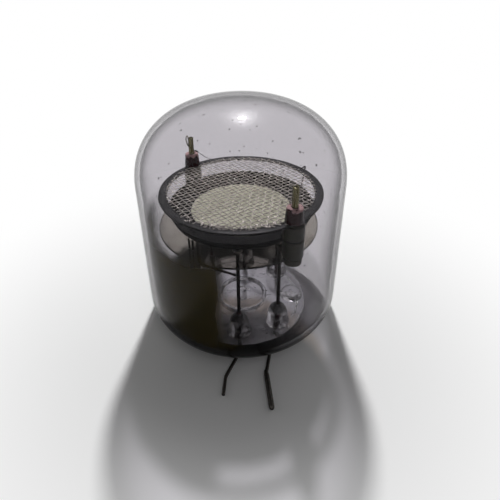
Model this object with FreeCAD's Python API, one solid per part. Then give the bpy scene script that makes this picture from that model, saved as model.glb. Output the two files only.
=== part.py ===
"""Sealed vacuum tube: glass bulb on a pressed glass stem, with a woven grid over a coated target.

Millimetres, +Z up.  The origin is on the tube's axis, in the plane that its bent leads stand on.
Each entry of PIECES is one separate physical piece, or one group of identical ones.
"""
import FreeCAD, Part
import math
import os

Vector = FreeCAD.Vector
UP = Vector(0, 0, 1)

# ---- driving dimensions ------------------------------------------------------------------------
# glass bulb
BULB_R = 25.4
BULB_WALL = 1.2
BULB_HEIGHT = 59.6
SHOULDER_HEIGHT = 39.7
DOME_POWER = 2.31
CORNER_R = 8.75

# pressed glass stem
SEAL_INSET = 7.6
FLOOR_THICKNESS = 2.0
FLOOR_RECESS = 0.4
FOOT_LAND = 0.65
RIM_ROUND = 0.65
BOSS_COUNT = 8
BOSS_INSET = 3.86
BOSS_TURN = -4.0
BOSS_R = 3.1
BOSS_HEIGHT = 6.0
BLANK_BOSS_HEIGHT = 2.6
BLANK_BOSSES = (0, 4)

# exhaust tube in the middle of the stem, sealed off below
EXHAUST_R = 6.9
EXHAUST_WALL = 1.1
EXHAUST_LIP = 0.6
TIP_R = 1.3
TIP_DROP = 0.45

# leads: sealed section in the glass, rod above it, wire below it
SEAL_WIRE_R = 0.65
SEAL_STAND = 0.35
ROD_R = 0.45
LEAD_R = 0.4
LEAD_DROP_BEND_R = 0.75
LEAD_BEND_R = 4.0
SOLDER_R = 0.62
SOLDER_LENGTH = 8.0

# electrode column, counted down from the top face of the grid ring
RING_HEIGHT = 36.7
RING_WIDTH = 1.8
RING_THICKNESS = 0.5
RING_CHAMFER = 0.12
UPPER_SPACER = 3.5
LOWER_SPACER = 4.5
COLLAR_HEIGHT = 1.3
SPACER_R = 2.4
COLLAR_R = 2.15

# filament posts
LEFT_POST_ANGLE = 133.7
RIGHT_POST_ANGLE = -54.7
POST_R = 0.72
POST_BORE_R = 0.46
POST_TOP = 8.4
POST_FOOT = 0.5
POST_HEAD_R = 1.15
POST_EAR_R = 1.9
BEAD_R = 1.45
BEAD_HEIGHT = 3.7
BEAD_CHAMFER = 0.35
FLAP_WIDTH = 0.9
FLAP_LENGTH = 2.6
FLAP_THICKNESS = 0.22
FLAP_FOLD_R = 0.5

# woven grid
MESH_PITCH = 1.25
MESH_WIRE = 0.2
MESH_INSET = 1.1
MESH_TURN = 35.0

# target: pan, deck and coated disc
PAN_INSET = 2.1
PAN_DEPTH = 2.3
PAN_TAPER = 0.8
PAN_WALL = 0.35
PAN_FILLET = 0.7
LUG_THICKNESS = 0.35
LUG_R = 2.1
LUG_NECK = 1.9
DECK_THICKNESS = 0.15
COATED_R = 12.8
COATED_THICKNESS = 0.25

# mica disc and its eyelets
MICA_THICKNESS = 0.45
MICA_OFFSET = 0.7
EYELET_WALL = 0.22
EYELET_FLANGE = 0.45
EYELET_FLANGE_THICKNESS = 0.25
EYELET_TAIL = 0.3
STUB_ABOVE_MICA = 1.3

# straps and small wires
STRAP_THICKNESS = 0.2
STRAP_WIDTH = 1.8
JUMPER_R = 0.3
JUMPER_HEIGHT = 20.3
GRID_LEAD_R = 0.18
GRID_LEAD_ANGLE = 32.0
GRID_LEAD_LEAN = 4.0
GRID_LEAD_BEND_R = 0.7
GRID_LEAD_STANDOFF = 0.45
STUB_R = 0.22
STUB_LENGTH = 1.0
STUB_DROOP = 0.35
STUB_ANGLE = -10.0
STUB_HEIGHT = 0.9
FILAMENT_R = 0.08
FILAMENT_LAND_ANGLE = 114.5
FILAMENT_SAG = 0.5
FILAMENT_BEND_R = 6.0

# getter: an open channel ring on a hairpin of two legs
GETTER_ANGLE = 228.0
GETTER_CLEARANCE = 6.8
GETTER_HEIGHT = 15.5
GETTER_R = 3.3
GETTER_WIDTH = 1.1
GETTER_DEPTH = 0.9
GETTER_WALL = 0.2
LEG_R = 0.25
LEG_PITCH = 1.3

# clearances
MICA_CLEARANCE = 3.84
RING_CLEARANCE = 3.7
SEAT_GAP = 0.1
SEAL_GAP = 0.02
WIRE_GAP = 0.02
SLIDE_GAP = 0.05
SCALLOP_GAP = 0.4
DECK_GAP = 0.1

# ---- levels worked out from them ---------------------------------------------------------------
GLASS_BASE = 2 * LEAD_R + SEAT_GAP
FLOOR_UNDER = GLASS_BASE + FLOOR_RECESS
FLOOR_TOP = FLOOR_UNDER + FLOOR_THICKNESS
BOSS_TOP = FLOOR_TOP + BOSS_HEIGHT
SEAL_TOP = BOSS_TOP + SEAL_STAND
RING_TOP = GLASS_BASE + RING_HEIGHT
RING_UNDER = RING_TOP - RING_THICKNESS
LUG_TOP = RING_UNDER - UPPER_SPACER
LUG_UNDER = LUG_TOP - LUG_THICKNESS
MICA_TOP = LUG_UNDER - LOWER_SPACER
MICA_UNDER = MICA_TOP - MICA_THICKNESS
COLLAR_UNDER = MICA_UNDER - COLLAR_HEIGHT
STRAP_UNDER = COLLAR_UNDER - STRAP_THICKNESS
PAN_TOP = LUG_TOP
PAN_UNDER = PAN_TOP - PAN_DEPTH
DECK_TOP = PAN_UNDER + PAN_WALL + DECK_THICKNESS
BULB_INNER_R = BULB_R - BULB_WALL
SEAL_R = BULB_R - SEAL_INSET
BOSS_PITCH_R = SEAL_R - BOSS_INSET
RING_R = BULB_INNER_R - RING_CLEARANCE
POST_PITCH_R = RING_R - RING_WIDTH / 2
MESH_R = RING_R - MESH_INSET
PAN_R = RING_R - PAN_INSET
PAN_FOOT_R = PAN_R - PAN_TAPER
MICA_R = BULB_INNER_R - MICA_CLEARANCE
GETTER_PITCH_R = BULB_INNER_R - GETTER_CLEARANCE
CORNER_CENTRE_R = BULB_R - CORNER_R
MESH_LAYER = MESH_WIRE + WIRE_GAP

LEAD_NAMES = {7: "front_right", 6: "front", 5: "front_left", 3: "back_left", 2: "back", 1: "back_right"}

POST_ANGLES = {"left": LEFT_POST_ANGLE, "right": RIGHT_POST_ANGLE}

# outer leads lie on the seat plane: bearing of each bend in plan, and how far it is past the barrel
LEAD_ROUTES = {
    "front": [(-93.6, -6.3), (-99.6, 0.4), (-98.9, 5.1)],
    "front_right": [(-70.9, -5.2), (-77.2, -0.6), (-79.0, 4.5), (-79.8, 8.5)],
    "front_left": [(195.5, -8.2), (167.6, -3.9)],
    "back_left": [(128.3, -3.5), (117.1, 3.1)],
    "back": [(85.5, -4.9), (89.2, 2.2)],
    "back_right": [(50.1, -3.0), (56.8, 4.2)],
}


# ---- small helpers -----------------------------------------------------------------------------
def polar(radius, angle, z=0.0):
    """Point at a radius and an angle in degrees round the tube's axis."""
    turn = math.radians(angle)
    return Vector(radius * math.cos(turn), radius * math.sin(turn), z)


def rod(centre, z0, z1, radius):
    """Upright cylinder on a point in plan, between two levels."""
    return Part.makeCylinder(radius, z1 - z0, Vector(centre.x, centre.y, z0), UP)


def ring(centre, z0, z1, outer_r, inner_r):
    """Upright tube on a point in plan, between two levels."""
    return rod(centre, z0, z1, outer_r).cut(rod(centre, z0, z1, inner_r))


def line(a, b):
    return Part.LineSegment(a, b).toShape()


def arc(a, through, b):
    return Part.Arc(a, through, b).toShape()


def section_point(radius, z):
    """Point of a half section, which is drawn in the XZ plane."""
    return Vector(radius, 0, z)


def spin(edges, centre=Vector(0, 0, 0)):
    """Solid turned about an upright axis from the edges of a closed half section."""
    face = Part.Face(Part.Wire(edges))
    solid = face.revolve(Vector(0, 0, 0), UP, 360)
    solid.translate(Vector(centre.x, centre.y, 0))
    return solid


def spin_corners(corners, centre=Vector(0, 0, 0)):
    """Solid turned from a half section with straight sides, given as (radius, z) corners."""
    points = [section_point(r, z) for r, z in corners]
    closed = points + points[:1]
    return spin([line(a, b) for a, b in zip(closed, closed[1:])], centre)


def bent_wire(points, radius, bends):
    """Round wire through points, straight between them, with one bend radius for each inner point."""
    edges = []
    start = points[0]
    for before, corner, after, bend in zip(points, points[1:], points[2:], bends):
        back = (before - corner).normalize()
        ahead = (after - corner).normalize()
        half = back.getAngle(ahead) / 2
        setback = bend / math.tan(half)
        inward = (back + ahead).normalize()
        tangent_in = corner + back * setback
        tangent_out = corner + ahead * setback
        crown = corner + inward * (bend / math.sin(half) - bend)
        edges.append(line(start, tangent_in))
        edges.append(arc(tangent_in, crown, tangent_out))
        start = tangent_out
    edges.append(line(start, points[-1]))
    section = Part.Wire(Part.makeCircle(radius, points[0], points[1] - points[0]))
    return Part.Wire(edges).makePipeShell([section], True, False)


def cap_middle(radius, depth):
    """Half-way point of a spherical cap's section, measured from its pole on the axis."""
    sphere_r = (radius ** 2 + depth ** 2) / (2 * depth)
    half = math.asin(radius / sphere_r) / 2
    return sphere_r * math.sin(half), sphere_r * (1 - math.cos(half))


def boss_angle(index):
    return BOSS_TURN + index * 360.0 / BOSS_COUNT


def boss_place(index):
    return polar(BOSS_PITCH_R, boss_angle(index))


def post_place(side):
    return polar(POST_PITCH_R, POST_ANGLES[side])


# ---- glass -------------------------------------------------------------------------------------
def dome_curve(radius, rise, base_z):
    """Superellipse quarter from the barrel up to the apex, for the outside or the inside."""
    steps = 12
    points = []
    for i in range(steps + 1):
        t = math.pi / 2 * i / steps
        r = radius * max(math.cos(t), 0.0) ** (2 / DOME_POWER)
        points.append(section_point(r, base_z + rise * math.sin(t) ** (2 / DOME_POWER)))
    points[-1].x = 0.0
    curve = Part.BSplineCurve()
    curve.interpolate(Points=points, InitialTangent=UP, FinalTangent=Vector(-1, 0, 0))
    return curve.toShape()


def bulb_body(inset):
    """Solid of the bulb's outside, or of its inside when inset by the wall."""
    barrel_r = BULB_R - inset
    corner_r = CORNER_R - inset
    low = GLASS_BASE + inset
    corner_z = GLASS_BASE + CORNER_R
    shoulder = GLASS_BASE + SHOULDER_HEIGHT
    rise = BULB_HEIGHT - SHOULDER_HEIGHT - inset
    diagonal = corner_r * math.sqrt(0.5)
    side = section_point(barrel_r, corner_z)
    bottom = section_point(CORNER_CENTRE_R, low)
    corner_mid = section_point(CORNER_CENTRE_R + diagonal, corner_z - diagonal)
    return spin([
        line(section_point(0, shoulder + rise), section_point(0, low)),
        line(section_point(0, low), bottom),
        arc(bottom, corner_mid, side),
        line(side, section_point(barrel_r, shoulder)),
        dome_curve(barrel_r, rise, shoulder),
    ])


def bulb():
    """Blown bulb: domed top, straight barrel and a rounded corner drawn in to the seal."""
    shell = bulb_body(0.0).cut(bulb_body(BULB_WALL))
    return shell.cut(rod(Vector(), 0, GLASS_BASE + CORNER_R, SEAL_R))


def corner_level(radius, inset):
    """Height of the bulb's rounded corner, outside or inside, at a radius past its flat."""
    reach = radius - CORNER_CENTRE_R
    return GLASS_BASE + CORNER_R - math.sqrt((CORNER_R - inset) ** 2 - reach ** 2)


def boss(centre):
    """Bell of glass drawn up round one lead."""
    neck_r = SEAL_WIRE_R + 0.15 * BOSS_R
    shoulder_r = 0.82 * BOSS_R
    shoulder_z = FLOOR_TOP + 0.5 * BOSS_HEIGHT
    bell_mid = section_point(0.62 * BOSS_R, FLOOR_TOP + 0.78 * BOSS_HEIGHT)
    foot = section_point(BOSS_R, FLOOR_TOP)
    shoulder = section_point(shoulder_r, shoulder_z)
    neck = section_point(neck_r, FLOOR_TOP + 0.93 * BOSS_HEIGHT)
    tip = section_point(SEAL_WIRE_R + WIRE_GAP, BOSS_TOP)
    sunk = section_point(BOSS_R, FLOOR_TOP - FLOOR_THICKNESS / 2)
    axis_low = section_point(0, FLOOR_TOP - FLOOR_THICKNESS / 2)
    axis_high = section_point(0, BOSS_TOP)
    return spin([
        line(axis_low, sunk),
        line(sunk, foot),
        line(foot, shoulder),
        arc(shoulder, bell_mid, neck),
        line(neck, tip),
        line(tip, axis_high),
        line(axis_high, axis_low),
    ], centre)


def blank_boss(centre):
    """Low rounded boss of a lead position that the tube leaves unused."""
    flank_r, below_crown = cap_middle(BOSS_R, BLANK_BOSS_HEIGHT)
    top = FLOOR_TOP + BLANK_BOSS_HEIGHT
    foot = section_point(BOSS_R, FLOOR_TOP)
    flank = section_point(flank_r, top - below_crown)
    crown = section_point(0, top)
    axis_low = section_point(0, FLOOR_TOP - FLOOR_THICKNESS / 2)
    sunk = section_point(BOSS_R, FLOOR_TOP - FLOOR_THICKNESS / 2)
    return spin([
        line(axis_low, sunk),
        line(sunk, foot),
        arc(foot, flank, crown),
        line(crown, axis_low),
    ], centre)


def stem():
    """Pressed glass stem: floor with eight bosses, a rounded rim and holes for the leads."""
    rim_r = SEAL_R - SEAL_GAP
    hole_r = EXHAUST_R + SEAL_GAP
    land_r = CORNER_CENTRE_R - FOOT_LAND
    half_r = (rim_r + CORNER_CENTRE_R) / 2
    rim_low = section_point(rim_r, corner_level(rim_r, 0.0))
    rim_high = section_point(rim_r, corner_level(rim_r, BULB_WALL))
    flat = section_point(CORNER_CENTRE_R, GLASS_BASE)
    round_start = section_point(rim_r - RIM_ROUND, FLOOR_TOP)
    round_mid = section_point(rim_r - 0.25 * RIM_ROUND, FLOOR_TOP - 0.35 * RIM_ROUND)
    floor = spin([
        arc(rim_low, section_point(half_r, corner_level(half_r, 0.0)), flat),
        line(flat, section_point(land_r, GLASS_BASE)),
        line(section_point(land_r, GLASS_BASE), section_point(land_r - FLOOR_RECESS, FLOOR_UNDER)),
        line(section_point(land_r - FLOOR_RECESS, FLOOR_UNDER), section_point(hole_r, FLOOR_UNDER)),
        line(section_point(hole_r, FLOOR_UNDER), section_point(hole_r, FLOOR_TOP)),
        line(section_point(hole_r, FLOOR_TOP), round_start),
        arc(round_start, round_mid, rim_high),
        line(rim_high, rim_low),
    ])
    for index in range(BOSS_COUNT):
        shape = blank_boss if index in BLANK_BOSSES else boss
        floor = floor.fuse(shape(boss_place(index)))
    for index in LEAD_NAMES:
        floor = floor.cut(rod(boss_place(index), FLOOR_UNDER, SEAL_TOP, SEAL_WIRE_R + WIRE_GAP))
    return floor.removeSplitter()


def exhaust_tube():
    """Pumping tube: a short cup of glass with a rounded lip, melted shut to a small tip below."""
    inner_r = EXHAUST_R - EXHAUST_WALL
    top = FLOOR_TOP + EXHAUST_LIP
    floor_z = GLASS_BASE + EXHAUST_WALL
    tip_z = GLASS_BASE - TIP_DROP
    lip = section_point(EXHAUST_R - EXHAUST_WALL / 2, top)
    lip_out = section_point(EXHAUST_R, top - EXHAUST_WALL / 2)
    lip_in = section_point(inner_r, top - EXHAUST_WALL / 2)
    wall_low = section_point(EXHAUST_R, FLOOR_UNDER)
    heel = section_point(EXHAUST_R - EXHAUST_WALL, GLASS_BASE)
    tip_edge = section_point(TIP_R, GLASS_BASE)
    tip = section_point(0, tip_z)
    tip_mid_r, tip_mid_rise = cap_middle(TIP_R, TIP_DROP)
    dish_mid_r, dish_mid_rise = cap_middle(inner_r, EXHAUST_WALL)
    return spin([
        line(section_point(0, floor_z), tip),
        arc(tip, section_point(tip_mid_r, tip_z + tip_mid_rise), tip_edge),
        line(tip_edge, heel),
        line(heel, wall_low),
        line(wall_low, lip_out),
        arc(lip_out, lip, lip_in),
        line(lip_in, section_point(inner_r, floor_z + EXHAUST_WALL)),
        arc(section_point(inner_r, floor_z + EXHAUST_WALL),
            section_point(dish_mid_r, floor_z + dish_mid_rise), section_point(0, floor_z)),
    ])


# ---- leads -------------------------------------------------------------------------------------
def seal_wires():
    """Dark wire sealed into each boss, flush with the stem below and standing out above."""
    return Part.makeCompound([rod(boss_place(i), FLOOR_UNDER, SEAL_TOP, SEAL_WIRE_R) for i in LEAD_NAMES])


def rod_top(name):
    """Level that an inner rod rises to: the pan for those that carry it, just over the mica for others."""
    return PAN_UNDER if name in ("front", "back", "front_left") else MICA_TOP + STUB_ABOVE_MICA


def inner_rod(index):
    return rod(boss_place(index), SEAL_TOP, rod_top(LEAD_NAMES[index]), ROD_R)


def outer_lead(index):
    """Lead below the stem, turned flat at once and laid on the seat plane."""
    name = LEAD_NAMES[index]
    place = boss_place(index)
    route = [polar(BULB_R + reach, bearing, LEAD_R) for bearing, reach in LEAD_ROUTES[name]]
    drop = Vector(place.x, place.y, FLOOR_UNDER)
    turn = Vector(place.x, place.y, LEAD_R)
    bends = [LEAD_DROP_BEND_R] + [LEAD_BEND_R] * (len(route) - 1)
    wire = bent_wire([drop, turn] + route, LEAD_R, bends)
    if name == "front_right":
        wire = wire.fuse(solder_end(route[-2], route[-1]))
    return wire


def solder_end(before, end):
    """Blob of old solder along the last stretch of a lead."""
    along = (end - before).normalize()
    lift = UP * (SOLDER_R + WIRE_GAP - LEAD_R)
    start = end - along * SOLDER_LENGTH + lift
    barrel = Part.makeCylinder(SOLDER_R, SOLDER_LENGTH, start, along)
    taper = Part.makeCone(LEAD_R, SOLDER_R, 2 * SOLDER_R, start - along * 2 * SOLDER_R, along)
    return barrel.fuse(taper).fuse(Part.makeSphere(SOLDER_R, end + lift)).removeSplitter()


# ---- posts and the column on them --------------------------------------------------------------
def post(side):
    """Nickel tube post, riveted over below the strap and open at the top."""
    centre = post_place(side)
    foot = STRAP_UNDER - POST_FOOT
    top = RING_TOP + POST_TOP
    body = rod(centre, foot, top, POST_R)
    head = Part.makeCone(0.7 * POST_HEAD_R, POST_HEAD_R, POST_FOOT, Vector(centre.x, centre.y, foot), UP)
    return body.fuse(head).cut(rod(centre, STRAP_UNDER, top, POST_BORE_R)).removeSplitter()


def post_flap():
    """Folded nickel tab welded to the left post, which held the end of the filament."""
    centre = post_place("left")
    top = RING_TOP + POST_TOP
    low = top - FLAP_LENGTH
    back = centre.y - FLAP_WIDTH / 2
    inner_x = centre.x - POST_R - WIRE_GAP - FLAP_THICKNESS
    fold_x = inner_x + FLAP_THICKNESS - FLAP_FOLD_R
    fold_at = Vector(fold_x, back, top)
    sideways = Vector(0, 1, 0)
    fold = Part.makeCylinder(FLAP_FOLD_R, FLAP_WIDTH, fold_at, sideways)
    fold = fold.cut(Part.makeCylinder(FLAP_FOLD_R - FLAP_THICKNESS, FLAP_WIDTH, fold_at, sideways))
    fold = fold.common(Part.makeBox(2 * FLAP_FOLD_R, FLAP_WIDTH, FLAP_FOLD_R,
                                    Vector(fold_x - FLAP_FOLD_R, back, top)))
    weld_leg = Part.makeBox(FLAP_THICKNESS, FLAP_WIDTH, FLAP_LENGTH, Vector(inner_x, back, low))
    free_leg = Part.makeBox(FLAP_THICKNESS, FLAP_WIDTH, FLAP_LENGTH / 2,
                            Vector(fold_x - FLAP_FOLD_R, back, top - FLAP_LENGTH / 2))
    return fold.fuse(weld_leg).fuse(free_leg).removeSplitter()


def bead(side):
    """Brown glazed bead that insulates the post where it passes the grid ring."""
    bore_r = POST_R + SLIDE_GAP
    top = RING_TOP + BEAD_HEIGHT
    return spin_corners([
        (bore_r, RING_TOP),
        (BEAD_R, RING_TOP),
        (BEAD_R, top - BEAD_CHAMFER),
        (BEAD_R - BEAD_CHAMFER, top),
        (bore_r, top),
    ], post_place(side))


def spacer(side, low, high, outer_r):
    """Insulating sleeve on a post, with its edges eased."""
    ease = 0.06 * outer_r
    bore_r = POST_R + SLIDE_GAP
    return spin_corners([
        (bore_r, low),
        (outer_r - ease, low),
        (outer_r, low + ease),
        (outer_r, high - ease),
        (outer_r - ease, high),
        (bore_r, high),
    ], post_place(side))


def post_strap(side, lead_index):
    """Nickel strap that joins a post's foot to the lead beside it."""
    post_at = post_place(side)
    lead_at = boss_place(lead_index)
    span = post_at - lead_at
    half = STRAP_WIDTH / 2
    blade = Part.makeBox(span.Length, STRAP_WIDTH, STRAP_THICKNESS, Vector(0, -half, 0))
    blade.rotate(Vector(0, 0, 0), UP, math.degrees(math.atan2(span.y, span.x)))
    blade.translate(Vector(lead_at.x, lead_at.y, STRAP_UNDER))
    for end in (lead_at, post_at):
        blade = blade.fuse(rod(end, STRAP_UNDER, COLLAR_UNDER, half))
    blade = blade.cut(rod(lead_at, STRAP_UNDER, COLLAR_UNDER, ROD_R + WIRE_GAP))
    return blade.cut(rod(post_at, STRAP_UNDER, COLLAR_UNDER, POST_R + WIRE_GAP)).removeSplitter()


# ---- grid --------------------------------------------------------------------------------------
def grid_ring():
    """Flat blackened ring with an ear round each post."""
    inner_r = RING_R - RING_WIDTH
    c = RING_CHAMFER
    band = spin_corners([
        (inner_r, RING_UNDER),
        (RING_R - c, RING_UNDER),
        (RING_R, RING_UNDER + c),
        (RING_R, RING_TOP - c),
        (RING_R - c, RING_TOP),
        (inner_r, RING_TOP),
    ])
    inside = rod(Vector(), RING_UNDER, RING_TOP, RING_R - c)
    for side in POST_ANGLES:
        ear = rod(post_place(side), RING_UNDER, RING_TOP, POST_EAR_R).common(inside)
        band = band.fuse(ear).cut(rod(post_place(side), RING_UNDER, RING_TOP, POST_R + SLIDE_GAP))
    return band.removeSplitter()


def mesh_layer(turn, level):
    """One direction of the woven grid, as parallel wires welded down on the ring."""
    clear = [post_place(side) for side in POST_ANGLES]
    keep_off = BEAD_R + SLIDE_GAP
    count = int(MESH_R / MESH_PITCH)
    direction = polar(1.0, turn)
    across = polar(1.0, turn + 90)
    wires = []
    for i in range(-count, count + 1):
        offset = i * MESH_PITCH
        if MESH_R <= abs(offset) + MESH_PITCH / 2:
            continue
        half = math.sqrt(MESH_R ** 2 - offset ** 2)
        wire = Part.makeBox(2 * half, MESH_WIRE, MESH_WIRE, Vector(-half, offset - MESH_WIRE / 2, 0))
        wire.rotate(Vector(0, 0, 0), UP, turn)
        wire.translate(UP * level)
        for centre in clear:
            near = abs(centre.dot(across) - offset) < keep_off + MESH_WIRE
            if near and abs(centre.dot(direction)) < half + keep_off:
                wire = wire.cut(rod(centre, level, level + MESH_WIRE, keep_off))
        wires.extend(wire.Solids)
    return Part.makeCompound(wires)


def grid_lead():
    """Fine wire from the back right lead, up outside the pan and hooked over the ring's edge."""
    lead_at = boss_place(1)
    level = MICA_TOP + EYELET_FLANGE_THICKNESS + 3 * GRID_LEAD_R
    out_r = RING_R + GRID_LEAD_R + 1.4 * GRID_LEAD_STANDOFF
    lead_side = (polar(out_r, GRID_LEAD_ANGLE + GRID_LEAD_LEAN) - lead_at).normalize()
    start = lead_at + lead_side * (ROD_R + WIRE_GAP)
    return bent_wire([
        Vector(start.x, start.y, level),
        polar(out_r, GRID_LEAD_ANGLE + GRID_LEAD_LEAN, level),
        polar(RING_R + GRID_LEAD_R + GRID_LEAD_STANDOFF, GRID_LEAD_ANGLE,
              RING_TOP + GRID_LEAD_R + GRID_LEAD_STANDOFF),
        polar(RING_R - RING_WIDTH / 2, GRID_LEAD_ANGLE, RING_TOP + GRID_LEAD_R + WIRE_GAP),
    ], GRID_LEAD_R, [GRID_LEAD_BEND_R, GRID_LEAD_R * 2])


# ---- target ------------------------------------------------------------------------------------
def scalloped_disc(radius, low, high, notch_r):
    """Disc with a round notch at each post."""
    disc = rod(Vector(), low, high, radius)
    for side in POST_ANGLES:
        disc = disc.cut(rod(post_place(side), low, high, notch_r))
    return disc


def target_pan():
    """Pressed black pan: shallow flared wall, rounded lower edge, and a lug at each post."""
    notch_r = SPACER_R + SCALLOP_GAP
    heel = PAN_FILLET * (1 - math.sqrt(0.5))
    outside = spin([
        line(section_point(0, PAN_TOP), section_point(0, PAN_UNDER)),
        line(section_point(0, PAN_UNDER), section_point(PAN_FOOT_R - PAN_FILLET, PAN_UNDER)),
        arc(section_point(PAN_FOOT_R - PAN_FILLET, PAN_UNDER),
            section_point(PAN_FOOT_R - heel, PAN_UNDER + heel),
            section_point(PAN_FOOT_R, PAN_UNDER + PAN_FILLET)),
        line(section_point(PAN_FOOT_R, PAN_UNDER + PAN_FILLET), section_point(PAN_R, PAN_TOP)),
        line(section_point(PAN_R, PAN_TOP), section_point(0, PAN_TOP)),
    ])
    inside = spin_corners([
        (0, PAN_UNDER + PAN_WALL),
        (PAN_FOOT_R - PAN_WALL, PAN_UNDER + PAN_WALL),
        (PAN_R - PAN_WALL, PAN_TOP),
        (0, PAN_TOP),
    ])
    for side in POST_ANGLES:
        outside = outside.cut(rod(post_place(side), PAN_UNDER, PAN_TOP, notch_r))
        inside = inside.cut(rod(post_place(side), PAN_UNDER, PAN_TOP, notch_r + PAN_WALL))
    pan = outside.cut(inside)
    for side in POST_ANGLES:
        centre = post_place(side)
        neck_start = min(POST_PITCH_R - notch_r, PAN_R) - PAN_WALL / 2
        neck = Part.makeBox(POST_PITCH_R - neck_start, LUG_NECK, LUG_THICKNESS,
                            Vector(neck_start, -LUG_NECK / 2, LUG_UNDER))
        neck.rotate(Vector(0, 0, 0), UP, POST_ANGLES[side])
        lug = neck.fuse(rod(centre, LUG_UNDER, LUG_TOP, LUG_R))
        pan = pan.fuse(lug).cut(rod(centre, LUG_UNDER, LUG_TOP, POST_R + SLIDE_GAP))
    return pan.removeSplitter()


def target_deck():
    """Black deck plate that lies on the pan's floor."""
    notch_r = SPACER_R + SCALLOP_GAP + PAN_WALL + DECK_GAP
    outer_r = PAN_FOOT_R - PAN_WALL - DECK_GAP
    return scalloped_disc(outer_r, PAN_UNDER + PAN_WALL, DECK_TOP, notch_r)


def coated_disc():
    """Cream coated disc in the middle of the deck, with a soft edge."""
    top = DECK_TOP + COATED_THICKNESS
    ease = COATED_THICKNESS / 2
    return spin_corners([
        (0, DECK_TOP),
        (COATED_R, DECK_TOP),
        (COATED_R, top - ease),
        (COATED_R - ease, top),
        (0, top),
    ])


# ---- mica and what it carries ------------------------------------------------------------------
def getter_leg_places():
    """Plan positions of the hairpin's two legs, side by side."""
    centre = polar(GETTER_PITCH_R, GETTER_ANGLE)
    aside = polar(LEG_PITCH / 2, GETTER_ANGLE + 90)
    return [centre + aside, centre - aside]


def mica_disc():
    """Mica disc, punched for the leads and the getter's legs and notched at the posts."""
    disc = rod(Vector(-MICA_OFFSET, 0, 0), MICA_UNDER, MICA_TOP, MICA_R)
    hole_r = ROD_R + WIRE_GAP + EYELET_WALL + WIRE_GAP
    for index in LEAD_NAMES:
        disc = disc.cut(rod(boss_place(index), MICA_UNDER, MICA_TOP, hole_r))
    for place in getter_leg_places():
        disc = disc.cut(rod(place, MICA_UNDER, MICA_TOP, LEG_R + SLIDE_GAP))
    slot_r = POST_R + SLIDE_GAP
    for side, angle in POST_ANGLES.items():
        slot = Part.makeBox(MICA_R + MICA_OFFSET, 2 * slot_r, MICA_THICKNESS,
                            Vector(POST_PITCH_R, -slot_r, MICA_UNDER))
        slot.rotate(Vector(0, 0, 0), UP, angle)
        disc = disc.cut(slot).cut(rod(post_place(side), MICA_UNDER, MICA_TOP, slot_r))
    return disc


def mica_eyelets():
    """Flanged eyelets that hold the mica on the rods."""
    bore_r = ROD_R + WIRE_GAP
    tube_r = bore_r + EYELET_WALL
    flange_r = tube_r + EYELET_FLANGE
    seat = MICA_TOP + WIRE_GAP
    corners = [
        (bore_r, MICA_UNDER - EYELET_TAIL),
        (tube_r, MICA_UNDER - EYELET_TAIL),
        (tube_r, seat),
        (flange_r, seat),
        (flange_r, seat + EYELET_FLANGE_THICKNESS),
        (bore_r, seat + EYELET_FLANGE_THICKNESS),
    ]
    return Part.makeCompound([spin_corners(corners, boss_place(index)) for index in LEAD_NAMES])


def jumper():
    """Short wire that ties the front left lead to the front one."""
    a = boss_place(5)
    b = boss_place(6)
    along = (b - a).normalize()
    reach = ROD_R + SLIDE_GAP
    start = a + along * reach + UP * (GLASS_BASE + JUMPER_HEIGHT)
    return Part.makeCylinder(JUMPER_R, (b - a).Length - 2 * reach, start, along)


def getter_ring():
    """Channel ring that held the getter, open towards the bulb's wall."""
    w = GETTER_WALL
    inner_r = GETTER_R - GETTER_WIDTH
    channel = spin_corners([
        (inner_r, 0),
        (GETTER_R, 0),
        (GETTER_R, GETTER_DEPTH),
        (GETTER_R - w, GETTER_DEPTH),
        (GETTER_R - w, w),
        (inner_r + w, w),
        (inner_r + w, GETTER_DEPTH),
        (inner_r, GETTER_DEPTH),
    ])
    channel.rotate(Vector(0, 0, 0), Vector(0, 1, 0), 90)
    channel.translate(Vector(GETTER_PITCH_R + LEG_R + WIRE_GAP, 0, GLASS_BASE + GETTER_HEIGHT))
    channel.rotate(Vector(0, 0, 0), UP, GETTER_ANGLE)
    return channel


def getter_legs():
    """Hairpin of two legs from the pan down behind the getter ring."""
    low = GLASS_BASE + GETTER_HEIGHT - GETTER_R
    return Part.makeCompound([rod(place, low, PAN_UNDER, LEG_R) for place in getter_leg_places()])


# ---- what is left of the filament --------------------------------------------------------------
def stub_line():
    """Two ends of the stub of heavy wire on the left post, drooping away from it."""
    centre = post_place("left")
    level = RING_TOP + BEAD_HEIGHT + STUB_HEIGHT
    start = centre + polar(POST_R + STUB_R / 2, STUB_ANGLE, level)
    end = start + polar(STUB_LENGTH, STUB_ANGLE, -STUB_DROOP)
    return start, end


def filament_stub():
    """Stub of heavy wire welded to the left post."""
    start, end = stub_line()
    return Part.makeCylinder(STUB_R, (end - start).Length, start, end - start)


def filament():
    """Broken filament: a fine wire fallen from the stub on to the ring."""
    stub_end = stub_line()[1]
    land = polar(RING_R - 0.4 * RING_WIDTH, FILAMENT_LAND_ANGLE, RING_TOP + FILAMENT_R + WIRE_GAP)
    sag = (stub_end + land) * 0.5 - UP * FILAMENT_SAG
    start = stub_end + (sag - stub_end).normalize() * (FILAMENT_R + WIRE_GAP)
    return bent_wire([start, sag, land], FILAMENT_R, [FILAMENT_BEND_R])


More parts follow.
